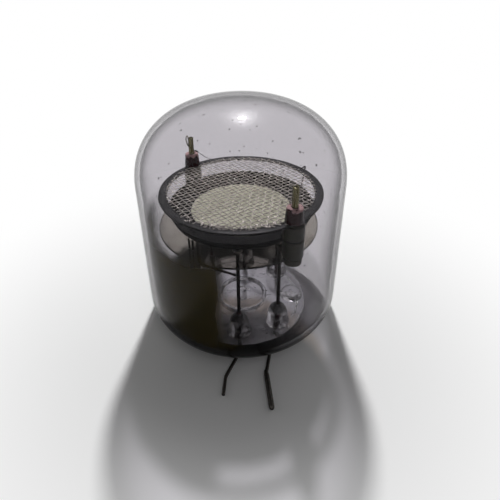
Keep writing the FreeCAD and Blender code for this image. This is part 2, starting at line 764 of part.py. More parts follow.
# ---- all pieces --------------------------------------------------------------------------------
PIECES = {
    "bulb": bulb(),
    "stem": stem(),
    "exhaust_tube": exhaust_tube(),
    "seal_wires": seal_wires(),
    "grid_ring": grid_ring(),
    "grid_warp": mesh_layer(MESH_TURN, RING_TOP + WIRE_GAP),
    "grid_weft": mesh_layer(MESH_TURN + 90, RING_TOP + WIRE_GAP + MESH_LAYER),
    "grid_lead": grid_lead(),
    "target_pan": target_pan(),
    "target_deck": target_deck(),
    "coated_disc": coated_disc(),
    "mica_disc": mica_disc(),
    "mica_eyelets": mica_eyelets(),
    "jumper_wire": jumper(),
    "getter_ring": getter_ring(),
    "getter_legs": getter_legs(),
    "post_flap": post_flap(),
    "filament_stub": filament_stub(),
    "filament": filament(),
    "post_strap_left": post_strap("left", 3),
    "post_strap_right": post_strap("right", 7),
}
for side in POST_ANGLES:
    PIECES["post_" + side] = post(side)
    PIECES["bead_" + side] = bead(side)
    PIECES["upper_spacer_" + side] = spacer(side, LUG_TOP, RING_UNDER, SPACER_R)
    PIECES["lower_spacer_" + side] = spacer(side, MICA_TOP, LUG_UNDER, SPACER_R)
    PIECES["foot_collar_" + side] = spacer(side, COLLAR_UNDER, MICA_UNDER, COLLAR_R)
for index, name in LEAD_NAMES.items():
    PIECES["inner_rod_" + name] = inner_rod(index)
    PIECES["outer_lead_" + name] = outer_lead(index)

os.makedirs("parts", exist_ok=True)
for name, shape in PIECES.items():
    shape.exportStep("parts/" + name + ".step")
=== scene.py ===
"""Sealed vacuum tube: the looks of every piece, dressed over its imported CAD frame.  Metres, +Z up."""
import bmesh
import bpy
import math
import random
from mathutils import Euler, Matrix, Vector


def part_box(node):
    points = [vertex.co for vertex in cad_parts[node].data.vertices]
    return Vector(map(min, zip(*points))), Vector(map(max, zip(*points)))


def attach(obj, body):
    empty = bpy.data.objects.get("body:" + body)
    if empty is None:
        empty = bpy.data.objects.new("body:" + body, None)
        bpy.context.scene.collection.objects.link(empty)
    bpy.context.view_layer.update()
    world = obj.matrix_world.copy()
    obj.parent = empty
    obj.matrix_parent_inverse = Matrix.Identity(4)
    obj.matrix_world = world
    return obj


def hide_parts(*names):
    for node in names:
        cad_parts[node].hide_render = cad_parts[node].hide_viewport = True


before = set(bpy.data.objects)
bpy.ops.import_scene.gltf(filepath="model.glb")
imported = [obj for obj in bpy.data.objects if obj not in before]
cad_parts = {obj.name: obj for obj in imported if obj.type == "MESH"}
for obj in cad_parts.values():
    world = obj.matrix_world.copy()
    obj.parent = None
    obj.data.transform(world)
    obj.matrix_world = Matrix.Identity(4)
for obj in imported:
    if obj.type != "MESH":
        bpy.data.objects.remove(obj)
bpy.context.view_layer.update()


# ---- bulb --------------------------------------------------------------------------------------
# Blown soda-lime glass bulb, 1.2 mm thick, with a domed top and a straight barrel.  Its rounded
# lower corner is melted to the rim of the stem.
SOFT_STEP = {"interpolation_type": "SMOOTHSTEP"}
COLOUR_MIX = {"data_type": "RGBA"}
MULTIPLY = {"operation": "MULTIPLY"}
ADD = {"operation": "ADD"}
SAME_POINT = 1e-6       # corners nearer than this are one corner


def srgb(code):
    """Linear RGBA of an sRGB hex colour."""
    parts = [int(code[i:i + 2], 16) / 255 for i in (1, 3, 5)]
    return [p / 12.92 if p <= 0.04045 else ((p + 0.055) / 1.055) ** 2.4 for p in parts] + [1.0]


def add(tree, kind, settings, inputs):
    """Adds one node.  Each input takes a plain value, a socket, or a node's first output."""
    node = tree.nodes.new("ShaderNode" + kind)
    for name, value in settings.items():
        setattr(node, name, value)
    for name, value in inputs.items():
        if isinstance(value, bpy.types.Node):
            value = value.outputs[0]
        if isinstance(value, bpy.types.NodeSocket):
            tree.links.new(value, node.inputs[name])
        else:
            node.inputs[name].default_value = value
    return node


def new_material(name):
    """An empty node material, the tree that its nodes go in, and the place on the object."""
    material = bpy.data.materials.new(name)
    material.use_nodes = True
    tree = material.node_tree
    tree.nodes.clear()
    return material, tree, add(tree, "TexCoord", {}, {}).outputs["Object"]


def spin_section(bm, section, steps, x=0.0, y=0.0):
    """Spins a half section, given as (radius, height) corners, about an upright line at x, y."""
    points = [bm.verts.new((x + r, y, z)) for r, z in section]
    edges = [bm.edges.new(pair) for pair in zip(points, points[1:])]
    bmesh.ops.spin(bm, geom=points + edges, cent=(x, y, 0), axis=(0, 0, 1), dvec=(0, 0, 0),
                   angle=math.tau, steps=steps, use_merge=True)
    bmesh.ops.remove_doubles(bm, verts=bm.verts, dist=SAME_POINT)
    bmesh.ops.recalc_face_normals(bm, faces=bm.faces)


def finish_piece(bm, name, material, replaced, sharp=35):
    """Turns the bmesh into a smooth-shaded piece of the tube that stands for its CAD nodes."""
    mesh = bpy.data.meshes.new(name)
    bm.to_mesh(mesh)
    bm.free()
    mesh.shade_smooth()
    mesh.set_sharp_from_angle(angle=math.radians(sharp))
    mesh.materials.append(material)
    piece = bpy.data.objects.new(name, mesh)
    bpy.context.scene.collection.objects.link(piece)
    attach(piece, "root")
    if replaced:
        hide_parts(*replaced)


bulb_low, bulb_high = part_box("bulb")
BULB_RADIUS = bulb_high.x
BULB_WALL = 0.0012
CORNER_RADIUS = 0.00875
MOUTH_RADIUS = 0.0178
BARREL_FOOT = bulb_low.z + CORNER_RADIUS
SHOULDER = bulb_low.z + 0.0397
DOME_POWER = 2.31       # 2 would be an ellipse; a higher power makes squarer shoulders
CORNER_STEPS = 16
BARREL_STEPS = 6
DOME_STEPS = 48


def bulb_side(inset):
    """Half section of the bulb, from the seal round the corner and up to the middle of the dome."""
    corner = CORNER_RADIUS - inset
    corner_middle = BULB_RADIUS - CORNER_RADIUS
    start = math.asin((MOUTH_RADIUS - corner_middle) / corner)
    points = []
    for i in range(CORNER_STEPS + 1):
        turn = start + (math.pi / 2 - start) * i / CORNER_STEPS
        points.append((corner_middle + corner * math.sin(turn),
                       BARREL_FOOT - corner * math.cos(turn)))
    for i in range(1, BARREL_STEPS):
        points.append((BULB_RADIUS - inset,
                       BARREL_FOOT + (SHOULDER - BARREL_FOOT) * i / BARREL_STEPS))
    rise = bulb_high.z - inset - SHOULDER
    for i in range(DOME_STEPS + 1):
        turn = math.pi / 2 * i / DOME_STEPS
        points.append(((BULB_RADIUS - inset) * max(math.cos(turn), 0.0) ** (2 / DOME_POWER),
                       SHOULDER + rise * math.sin(turn) ** (2 / DOME_POWER)))
    return points


GLASS_RIPPLE = 0.00238


def glass_material(name, tint, shadow, index, wave, edge_start, edge_shade):
    """Clear glass, darker where it is seen edge on, that lets the lamps through.

    index is its index of refraction, wave how strongly it ripples, and edge_start how far a face
    turns away (0 to 1) before painted shade darkens it.  Its shadow has a dark outline, as real glass
    gives.
    """
    material, tree, place = new_material(name)
    facing = add(tree, "LayerWeight", {}, {"Blend": 0.5}).outputs["Facing"]
    # Painted shade: the glass turns dark where it is seen edge on.
    edge = add(tree, "MapRange", SOFT_STEP, {"Value": facing, "From Min": edge_start,
                                             "From Max": 0.88, "To Max": 0.95})
    body = add(tree, "Mix", COLOUR_MIX, {0: edge, 6: srgb(tint), 7: srgb(edge_shade)})
    ripple = add(tree, "TexNoise", {}, {"Vector": place, "Scale": 1 / GLASS_RIPPLE, "Detail": 3.0})
    uneven = add(tree, "Bump", {}, {"Height": ripple, "Strength": wave, "Distance": 0.001})
    glass = add(tree, "BsdfPrincipled", {}, {"Base Color": body.outputs[2], "Roughness": 0.0,
                                             "IOR": index, "Transmission Weight": 1.0,
                                             "Normal": uneven})
    slant = add(tree, "MapRange", {}, {"Value": facing, "From Min": 0.4, "From Max": 0.95})
    cast = add(tree, "Mix", COLOUR_MIX, {0: slant, 6: srgb(shadow), 7: srgb("#3C3A3C")})
    clear = add(tree, "BsdfTransparent", {}, {"Color": cast.outputs[2]})
    path = add(tree, "LightPath", {}, {})
    lit = add(tree, "MixShader", {}, {0: path.outputs["Is Shadow Ray"], 1: glass, 2: clear})
    softly = add(tree, "MixShader", {}, {0: path.outputs["Is Diffuse Ray"], 1: lit, 2: clear})
    add(tree, "OutputMaterial", {}, {"Surface": softly})
    return material, tree, glass, place


def stain(tree, glass, mask, colour):
    """Paints a colour into the glass where the mask is 1."""
    clean = glass.inputs["Base Color"].links[0].from_socket
    stained = add(tree, "Mix", COLOUR_MIX, {0: mask, 6: clean, 7: srgb(colour)})
    tree.links.new(stained.outputs[2], glass.inputs["Base Color"])


# Soda-lime glass: clear but tinted grey, painted shade for the shaded table seen through it, and
# with painted shade at its edges.  Its index is lower than the usual 1.5, or the pale room would be
# mirrored over all that is inside.
bulb_glass, tree, glass, place = glass_material("grey_soda_lime_glass", "#D9D7DA", "#EEEDEF",
                                                1.09, 0.02, 0.50, "#0E0D0F")
# A thin scuffed skin spreads the glint on the dome.  Real scuffs are finer than 0.1 mm and are
# drawn coarse so that they show.
SCUFF = 0.00077
glass.inputs["Coat Weight"].default_value = 0.09
glass.inputs["Coat Roughness"].default_value = 0.27
scuffs = add(tree, "TexNoise", {}, {"Vector": place, "Scale": 1 / SCUFF, "Detail": 2.0})
scuffed = add(tree, "Bump", {}, {"Height": scuffs, "Strength": 0.25, "Distance": 0.0003})
tree.links.new(scuffed.outputs[0], glass.inputs["Coat Normal"])
# Dark baked specks, up to 0.7 mm across, in half of the cells of a 3 mm pattern.
SPECK_SPACING = 0.00303
cells = add(tree, "TexVoronoi", {}, {"Vector": place, "Scale": 1 / SPECK_SPACING})
chosen = add(tree, "Math", {"operation": "GREATER_THAN"}, {0: cells.outputs["Color"], 1: 0.5})
spot = add(tree, "MapRange", SOFT_STEP, {"Value": cells.outputs["Distance"], "From Min": 0.06,
                                         "From Max": 0.12, "To Min": 0.85, "To Max": 0.0})
stain(tree, glass, add(tree, "Math", MULTIPLY, {0: chosen, 1: spot}), "#1E1A18")
# Painted shade: a dark band over the seal, for the shadowed table seen through the thick glass,
# strongest on the side of the getter.
BAND_FULL, BAND_GONE = 0.0055, 0.0100        # heights
BAND_STRONG_X, BAND_WEAK_X = 0.006, 0.020    # places along x
at = add(tree, "SeparateXYZ", {}, {"Vector": place})
seal_shade = add(tree, "MapRange", SOFT_STEP, {"Value": at.outputs["Z"], "From Min": BAND_FULL,
                                         "From Max": BAND_GONE, "To Min": 0.99, "To Max": 0.0})
seal_shade_side = add(tree, "MapRange", SOFT_STEP, {"Value": at.outputs["X"], "From Min": BAND_STRONG_X,
                                           "From Max": BAND_WEAK_X, "To Min": 1.0, "To Max": 0.25})
stain(tree, glass, add(tree, "Math", MULTIPLY, {0: seal_shade, 1: seal_shade_side}), "#0A0908")

bm = bmesh.new()
outer_side = bulb_side(0.0)
spin_section(bm, outer_side + bulb_side(BULB_WALL)[::-1] + outer_side[:1], steps=144)
finish_piece(bm, "bulb_shell", bulb_glass, ["bulb"])


# ---- getter film -------------------------------------------------------------------------------
# Barium metal flashed from the getter ring on to the wall beside it.  It fades out softly at the
# top and on one side, and more sharply on the side where the electrodes shaded the wall.
FILM_BEARING = math.radians(-131)
FILM_START = FILM_BEARING - 1.45     # radians round the tube
FILM_SWEEP = 2.25
FILM_OPEN_SIDE = (-0.99, -0.70)      # places across the film, as parts of the bulb's radius
FILM_SHADED_SIDE = (0.40, 0.54)
FILM_TOP = (0.0295, 0.0345)          # heights between which it fades out
FILM_STAND_OFF = 0.00004
FILM_CLOUD = 0.0111
FILM_GRAIN = 0.00143

# Flashed barium: a dull olive-brown film, dense in the middle, with wandering edges.  Its grain is
# too fine to see and is drawn at 1.4 mm so that it shows.
barium, tree, place = new_material("flashed_barium_film")
cloud = add(tree, "TexNoise", {}, {"Vector": place, "Scale": 1 / FILM_CLOUD, "Detail": 4.0})
side = add(tree, "VectorMath", {"operation": "DOT_PRODUCT"},
           {0: place, 1: (-math.sin(FILM_BEARING) / BULB_RADIUS,
                          math.cos(FILM_BEARING) / BULB_RADIUS, 0)})
drift = add(tree, "MapRange", {}, {"Value": cloud, "To Min": -0.07, "To Max": 0.07})
across = add(tree, "Math", ADD, {0: side.outputs["Value"], 1: drift})
shaded = add(tree, "MapRange", SOFT_STEP, {"Value": across, "From Min": FILM_SHADED_SIDE[0],
                                           "From Max": FILM_SHADED_SIDE[1], "To Min": 1.0,
                                           "To Max": 0.0})
opened = add(tree, "MapRange", SOFT_STEP, {"Value": across, "From Min": FILM_OPEN_SIDE[0],
                                           "From Max": FILM_OPEN_SIDE[1]})
height = add(tree, "SeparateXYZ", {}, {"Vector": place})
lift = add(tree, "MapRange", {}, {"Value": cloud, "To Min": -0.002, "To Max": 0.002})
level = add(tree, "Math", ADD, {0: height.outputs["Z"], 1: lift})
below = add(tree, "MapRange", SOFT_STEP, {"Value": level, "From Min": FILM_TOP[0],
                                          "From Max": FILM_TOP[1], "To Min": 1.0, "To Max": 0.0})
sides = add(tree, "Math", MULTIPLY, {0: shaded, 1: opened})
cover = add(tree, "Math", MULTIPLY, {0: sides, 1: below})
grain = add(tree, "TexNoise", {}, {"Vector": place, "Scale": 1 / FILM_GRAIN, "Detail": 2.0})
tone = add(tree, "Mix", COLOUR_MIX, {0: cloud, 6: srgb("#4A4016"), 7: srgb("#332B0E")})
rough = add(tree, "MapRange", {}, {"Value": grain, "To Min": 0.35, "To Max": 0.6})
film = add(tree, "BsdfPrincipled", {}, {"Base Color": tone.outputs[2], "Roughness": rough,
                                        "Specular IOR Level": 0.0, "Alpha": cover})
add(tree, "OutputMaterial", {}, {"Surface": film})

bm = bmesh.new()
wall = [(r, z) for r, z in bulb_side(BULB_WALL + FILM_STAND_OFF) if z < SHOULDER]
points = [bm.verts.new((r, 0, z)) for r, z in wall]
lines = [bm.edges.new(pair) for pair in zip(points, points[1:])]
bmesh.ops.rotate(bm, verts=bm.verts, cent=(0, 0, 0), matrix=Matrix.Rotation(FILM_START, 3, "Z"))
bmesh.ops.spin(bm, geom=points + lines, cent=(0, 0, 0), axis=(0, 0, 1), dvec=(0, 0, 0),
               angle=FILM_SWEEP, steps=60)
bmesh.ops.recalc_face_normals(bm, faces=bm.faces)
finish_piece(bm, "getter_film", barium, [])


# ---- stem --------------------------------------------------------------------------------------
# Pressed lead glass floor with eight bosses drawn up round the leads, melted into the bulb at its
# rim.  The stub of the exhaust tube in the middle was melted shut after pumping.
BOSS_CLEAN, BOSS_DARK = 0.0066, 0.0080       # heights
FRONT_BOSS = (-0.0015, -0.0139, 0.004)       # middle of the brown stain
FRONT_BROWN, FRONT_CLEAN = 0.0028, 0.0062    # distances from its middle


def dress(material, *names):
    """Gives CAD nodes their material."""
    for name in names:
        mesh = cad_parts[name].data
        mesh.materials.clear()
        mesh.materials.append(material)


# Lead glass pressed in a mould: bright, and rippled so that it breaks what is behind it into light
# and dark, with painted shade where it is seen edge on.  The tips of the bosses are darkened
# upwards, and the front one is brown.
stem_glass, tree, glass, place = glass_material("pressed_lead_glass", "#F4F3F5", "#F0F0F2",
                                                1.5, 0.6, 0.22, "#0A090A")
at = add(tree, "SeparateXYZ", {}, {"Vector": place})
tips = add(tree, "MapRange", SOFT_STEP, {"Value": at.outputs["Z"], "From Min": BOSS_CLEAN,
                                         "From Max": BOSS_DARK, "To Max": 0.96})
stain(tree, glass, tips, "#0C0A0C")
away = add(tree, "VectorMath", {"operation": "DISTANCE"}, {0: place, 1: FRONT_BOSS})
brown = add(tree, "MapRange", SOFT_STEP, {"Value": away.outputs["Value"], "From Min": FRONT_BROWN,
                                          "From Max": FRONT_CLEAN, "To Min": 0.6, "To Max": 0.0})
stain(tree, glass, brown, "#2A2214")
dress(stem_glass, "stem", "exhaust_tube")


# ---- grid ring ---------------------------------------------------------------------------------
# Flat ring of blackened nickel strip with slightly rounded edges, held by an ear round each post.
# It carries the grid, which is welded on top of it.
def middle(node):
    """The middle of a CAD node's box."""
    low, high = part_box(node)
    return (low + high) / 2


def metal_material(name, light, dark, metallic, smooth, rough, grain, shine=0.5):
    """Metal with a mottled oxide skin; grain is the size of its mottle along x, y and z."""
    material, tree, place = new_material(name)
    sized = add(tree, "Mapping", {}, {"Vector": place, "Scale": [1 / g for g in grain]})
    mottle = add(tree, "TexNoise", {}, {"Vector": sized, "Scale": 1.0, "Detail": 5.0})
    spread = add(tree, "MapRange", {}, {"Value": mottle, "From Min": 0.3, "From Max": 0.7})
    tone = add(tree, "Mix", COLOUR_MIX, {0: spread, 6: srgb(light), 7: srgb(dark)})
    gloss = add(tree, "MapRange", {}, {"Value": spread, "To Min": smooth, "To Max": rough})
    skin = add(tree, "Bump", {}, {"Height": mottle, "Strength": 0.15, "Distance": 0.0001})
    metal = add(tree, "BsdfPrincipled", {}, {"Base Color": tone.outputs[2], "Metallic": metallic,
                                             "Specular IOR Level": shine, "Roughness": gloss,
                                             "Normal": skin})
    add(tree, "OutputMaterial", {}, {"Surface": metal})
    return material


def round_edges(bm, edges, width, segments):
    """Rounds off the edges given."""
    bmesh.ops.bevel(bm, geom=edges, offset=width, segments=segments, profile=0.5, affect="EDGES",
                    material=-1)


ring_low, ring_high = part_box("grid_ring")
RING_TOP = ring_high.z
RING_RADIUS = ring_high.x
RING_WIDTH = 0.0022
RING_EDGE = 0.00016
EAR_RADIUS = 0.0017
EAR_PULL = 0.985        # the ears' middles are this part of the way out to the posts
EAR_SKIN = 0.00004      # how much thinner than the ring the ears are
SHARP = 1.0             # an edge where the faces turn by more than this, in radians, is rounded

# Nickel blackened with a carbon and oxide skin: near black with hardly a sheen, so not metallic.
blackened_nickel = metal_material("blackened_nickel", "#1C1A1B", "#100F10", 0.0, 0.35, 0.5,
                                  (0.0008, 0.0008, 0.0008), 0.12)
bm = bmesh.new()
inner_radius = RING_RADIUS - RING_WIDTH
spin_section(bm, [(inner_radius, ring_low.z), (RING_RADIUS, ring_low.z), (RING_RADIUS, RING_TOP),
                  (inner_radius, RING_TOP), (inner_radius, ring_low.z)], steps=180)
round_edges(bm, [e for e in bm.edges if e.calc_face_angle(0) > SHARP], RING_EDGE, 3)
for side in ("left", "right"):
    post = middle("post_" + side)
    place = Matrix.Translation((post.x * EAR_PULL, post.y * EAR_PULL, (RING_TOP + ring_low.z) / 2))
    bmesh.ops.create_cone(bm, cap_ends=True, segments=40, radius1=EAR_RADIUS, radius2=EAR_RADIUS,
                          depth=RING_TOP - ring_low.z - EAR_SKIN, matrix=place)
finish_piece(bm, "grid_ring_flat", blackened_nickel, ["grid_ring"])


# ---- woven grid --------------------------------------------------------------------------------
# Plain weave of drawn nickel wire, about twenty to the inch, cut round and welded flat on the ring.
# Each wire passes over and under the wires across it, and lies a little out of true.
MESH_RADIUS = RING_RADIUS - 0.0019
MESH_LEVEL = RING_TOP + 0.00023
MESH_PITCH = 0.00125
MESH_WIRE = 0.0002
MESH_TURN = math.radians(35.0)
BENDS_PER_PITCH = 12
MOST_DRIFT = 0.09 * MESH_PITCH
MOST_BOW = 0.1 * MESH_PITCH
BOW_TURN = 2.5          # radians of the bow's wave from the middle of a wire to its end

# Bare drawn nickel wire: pale and bright against the black ring, a little uneven.
mesh_nickel = metal_material("drawn_nickel_mesh_wire", "#C2BCB4", "#8E8984", 1.0, 0.32, 0.5,
                             (0.0015, 0.0015, 0.0015))


def woven_wires(bm, turn, first_up, chance):
    """One direction of the weave: wires that rise and dip over the wires across them."""
    count = int(MESH_RADIUS / MESH_PITCH)
    for i in range(-count, count + 1):
        offset = i * MESH_PITCH
        if abs(offset) > MESH_RADIUS - MESH_PITCH / 2:
            continue
        half = math.sqrt(MESH_RADIUS ** 2 - offset ** 2)
        before = len(bm.verts)
        made = bmesh.ops.create_cone(bm, cap_ends=True, segments=6, radius1=MESH_WIRE / 2,
                                     radius2=MESH_WIRE / 2, depth=2 * half,
                                     matrix=Matrix.Rotation(math.pi / 2, 4, "Y"))
        long_edges = list({e for v in made["verts"] for e in v.link_edges
                           if abs(e.verts[0].co.x - e.verts[1].co.x) > half})
        bmesh.ops.subdivide_edges(bm, edges=long_edges,
                                  cuts=max(2, int(BENDS_PER_PITCH * half / MESH_PITCH)))
        bm.verts.ensure_lookup_table()
        drift = chance.uniform(-MOST_DRIFT, MOST_DRIFT)
        bow = chance.uniform(-MOST_BOW, MOST_BOW)
        for v in bm.verts[before:]:
            wave = math.cos(math.pi * (v.co.x / MESH_PITCH + i + first_up))
            v.co.z += 0.5 * MESH_WIRE * wave + MESH_LEVEL
            v.co.y += offset + drift + bow * math.sin(v.co.x / half * BOW_TURN)
            v.co.xy = Matrix.Rotation(turn, 2) @ v.co.xy


chance = random.Random(4)
for name, turn, first_up in (("grid_warp", MESH_TURN, 0), ("grid_weft", MESH_TURN + math.pi / 2, 1)):
    bm = bmesh.new()
    woven_wires(bm, turn, first_up, chance)
    finish_piece(bm, name + "_woven", mesh_nickel, [name], 180)


# ---- frayed ends of the grid -------------------------------------------------------------------
# Loose cut ends of the mesh wire, lying bent every way on the front of the ring where the grid was
# trimmed by hand.
FRAYED_ENDS = 190
FRAYED_BEARING = (-138, -40, -92)            # degrees: first, last, thickest
FRAYED_REACH = (0.0008, 0.0026, 0.0021)      # in from the ring's outer edge: least, most, usual
FRAYED_TILT = 0.3                            # radians
FRAYED_LIFT = (0.00008, 0.0003)              # above the ring
FRAYED_LENGTH = (0.0003, 0.0009)
bm = bmesh.new()
for i in range(FRAYED_ENDS):
    bearing = math.radians(chance.triangular(*FRAYED_BEARING))
    reach = RING_RADIUS - chance.triangular(*FRAYED_REACH)
    lie = Matrix.Rotation(chance.uniform(0, math.tau), 4, "Z") @ Matrix.Rotation(
        math.pi / 2 + chance.uniform(-FRAYED_TILT, FRAYED_TILT), 4, "Y")
    place = Matrix.Translation((reach * math.cos(bearing), reach * math.sin(bearing),
                                RING_TOP + chance.uniform(*FRAYED_LIFT)))
    bmesh.ops.create_cone(bm, cap_ends=True, segments=5, radius1=MESH_WIRE * 0.4,
                          radius2=MESH_WIRE * 0.4, depth=chance.uniform(*FRAYED_LENGTH),
                          matrix=place @ lie)
finish_piece(bm, "grid_frayed_ends", mesh_nickel, [])


# ---- target ------------------------------------------------------------------------------------
# Pressed nickel pan and the thin deck in it, carbonised black, hung from the posts by two lugs.
# A disc of cream oxide is sprayed on the deck.
COATING_GRAIN = 0.000222
COATING_PATCH = 0.00455

# Carbonised nickel: a sooty black with no metal showing.
pan_black = metal_material("carbonised_nickel", "#100F11", "#070708", 0.0, 0.5, 0.7,
                           (0.002, 0.002, 0.002), 0.05)
dress(pan_black, "target_pan", "target_deck")
# Sprayed oxide: chalky, matt and a little patchy.  The real grain of 0.05 mm is drawn at 0.2 mm so
# that it shows.
coating, tree, place = new_material("sprayed_oxide_coating")
grain = add(tree, "TexNoise", {}, {"Vector": place, "Scale": 1 / COATING_GRAIN, "Detail": 3.0})
patch = add(tree, "TexNoise", {}, {"Vector": place, "Scale": 1 / COATING_PATCH, "Detail": 4.0})
tone = add(tree, "Mix", COLOUR_MIX, {0: patch, 6: srgb("#F6F6DC"), 7: srgb("#DDDDC0")})
chalk = add(tree, "Bump", {}, {"Height": grain, "Strength": 0.5, "Distance": 0.0001})
matt = add(tree, "BsdfPrincipled", {}, {"Base Color": tone.outputs[2], "Roughness": 0.95,
                                        "Specular IOR Level": 0.1, "Normal": chalk})
add(tree, "OutputMaterial", {}, {"Surface": matt})
dress(coating, "coated_disc")


# ---- mica --------------------------------------------------------------------------------------
# Disc split from natural mica and punched for the rods and posts.  It keeps them apart, and is held
# on the rods by eyelets.
MICA_RIM = (0.02005, 0.02030)             # radii between which the cut rim darkens
MICA_FLOW = (0.0167, 0.00417, 0.0167)     # size of the flow marks along x, y and z

# Split mica: clear and brownish, with painted shade at its cut rim and where it is seen edge on,
# and faint flow marks across it.
mica, tree, glass, place = glass_material("split_mica", "#B9B4AA", "#E0D8CC", 1.3, 0.0, 0.8,
                                          "#5A5048")
# Painted shade: a dark band round the rim, the shade that the edge of the sheet shows.
out = add(tree, "VectorMath", {"operation": "DISTANCE"}, {0: place, 1: middle("mica_disc")})
rim = add(tree, "MapRange", SOFT_STEP, {"Value": out.outputs["Value"], "From Min": MICA_RIM[0],
                                        "From Max": MICA_RIM[1], "To Max": 0.9})
stain(tree, glass, rim, "#1E1914")
sized = add(tree, "Mapping", {}, {"Vector": place, "Scale": [1 / size for size in MICA_FLOW]})
flow = add(tree, "TexNoise", {}, {"Vector": sized, "Scale": 1.0, "Detail": 3.0})
marks = add(tree, "MapRange", SOFT_STEP, {"Value": flow, "From Min": 0.5, "From Max": 0.62,
                                          "To Max": 0.35})
stain(tree, glass, marks, "#8A8070")
dress(mica, "mica_disc")


# ---- rods, straps and small wires --------------------------------------------------------------
# Drawn nickel rods that stand on the seals and carry the rest, with the straps, eyelets, jumper and
# getter that are spot welded to them, and the bare lead wires bent out under the tube.
LEADS = ["front_right", "front", "front_left", "back_left", "back", "back_right"]

# Drawn rod: near black, with streaks running along the rod.
rod_nickel = metal_material("drawn_nickel_rod", "#2E2826", "#171313", 0.8, 0.3, 0.5,
                            (0.0003, 0.0003, 0.004))
dress(rod_nickel, "grid_lead", "jumper_wire", "getter_legs", "filament_stub",
      *["inner_rod_" + lead for lead in LEADS])
# Pressed strip: clean and grey, the brightest metal under the target.
strip_nickel = metal_material("pressed_nickel_strip", "#A29C92", "#7C766C", 1.0, 0.25, 0.45,
                              (0.0006, 0.0006, 0.0006))
dress(strip_nickel, "getter_ring", "mica_eyelets", "post_strap_left", "post_strap_right")
# Burnt tungsten: dull mid grey.
tungsten = metal_material("tungsten_wire", "#5C5A58", "#3A3836", 1.0, 0.4, 0.6,
                          (0.001, 0.001, 0.001))
dress(tungsten, "filament")
# Tarnished wire: brown black and uneven, with a low shine.
lead_wire = metal_material("tarnished_lead_wire", "#3C3835", "#1A1817", 0.8, 0.35, 0.6,
                           (0.0006, 0.0006, 0.0006))
dress(lead_wire, *["outer_lead_" + lead for lead in LEADS])


# ---- seals -------------------------------------------------------------------------------------
# Short copper-clad wires, one through each of the six bells of the stem, welded to a rod above and
# a lead below.  The glass wets the red oxide on them.
SEAL_FOOT = 0.0006         # radii
SEAL_WIDEST = 0.0007
SEAL_TIP = 0.0005
SEAL_TAPER = 0.0012        # heights of the taper and of the rounded foot
SEAL_ROUND = 0.0001

# Copper oxide under glass: dark red, wet and glossy.
seal_red = metal_material("oxidised_copper_clad_wire", "#4A0E1C", "#24060E", 0.2, 0.2, 0.4,
                          (0.0006, 0.0006, 0.002))
seal_low, seal_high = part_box("seal_wires")
bm = bmesh.new()
for lead in LEADS:
    rod = middle("inner_rod_" + lead)
    spin_section(bm, [(0.0, seal_low.z), (SEAL_FOOT, seal_low.z + SEAL_ROUND),
                      (SEAL_WIDEST, seal_high.z - SEAL_TAPER), (SEAL_TIP, seal_high.z),
                      (0.0, seal_high.z)], steps=20, x=rod.x, y=rod.y)
finish_piece(bm, "seal_wires_oxidised", seal_red, ["seal_wires"])


# ---- posts -------------------------------------------------------------------------------------
# Drawn nickel tubes, open at the top, that stand up through the spacers, beads and ring and held
# the filament between them.
TUBE_RADIUS = 0.00072
TUBE_BORE = 0.00050
TUBE_FOOT = 0.0015         # height at which the bore is closed
FLARE_RADIUS = 0.00115     # flared foot, and the narrower ring under it
FLARE_UNDER = 0.0008
FLARE_HEIGHT = 0.0005
LIP_ROUND = 0.00006
LIP_DEPTH = 0.0001         # only edges this near the top are rounded

# Drawn nickel tube: smooth, with a yellowish heat tint in streaks along it.
post_nickel = metal_material("drawn_nickel_tube", "#7C775A", "#3E3B28", 1.0, 0.16, 0.34,
                             (0.0004, 0.0004, 0.006))
for side in ("left", "right"):
    low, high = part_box("post_" + side)
    post = middle("post_" + side)
    bm = bmesh.new()
    spin_section(bm, [(0.0, low.z), (FLARE_UNDER, low.z), (FLARE_RADIUS, low.z + FLARE_HEIGHT),
                      (TUBE_RADIUS, low.z + FLARE_HEIGHT), (TUBE_RADIUS, high.z), (TUBE_BORE, high.z),
                      (TUBE_BORE, low.z + TUBE_FOOT), (0.0, low.z + TUBE_FOOT)],
                 steps=40, x=post.x, y=post.y)
    round_edges(bm, [e for e in bm.edges if e.calc_face_angle(0) > SHARP
                     and e.verts[0].co.z > high.z - LIP_DEPTH], LIP_ROUND, 2)
    finish_piece(bm, "post_tube_" + side, post_nickel, ["post_" + side])


# ---- post tab ----------------------------------------------------------------------------------
# Nickel tab cut from thin strip, folded over and welded against the left post, where the end of the
# filament was clamped.
TAB_WIDTH = 0.0010
TAB_THICKNESS = 0.00014
# Corners of the fold, out from the post's middle and up.
TAB_FOLD = [(-0.00070, 0.04340), (-0.00100, 0.04385), (-0.00122, 0.04470), (-0.00128, 0.04560),
            (-0.00116, 0.04630), (-0.00088, 0.04648), (-0.00066, 0.04620)]
post = middle("post_left")
bm = bmesh.new()
points = [bm.verts.new((post.x + x, post.y - TAB_WIDTH / 2, z)) for x, z in TAB_FOLD]
lines = [bm.edges.new(pair) for pair in zip(points, points[1:])]
across = bmesh.ops.extrude_edge_only(bm, edges=lines)["geom"]
bmesh.ops.translate(bm, verts=[v for v in across if isinstance(v, bmesh.types.BMVert)],
                    vec=(0, TAB_WIDTH, 0))
bmesh.ops.recalc_face_normals(bm, faces=bm.faces)
bmesh.ops.solidify(bm, geom=bm.faces[:] + bm.edges[:] + bm.verts[:], thickness=TAB_THICKNESS)
finish_piece(bm, "post_tab_folded", post_nickel, ["post_flap"])


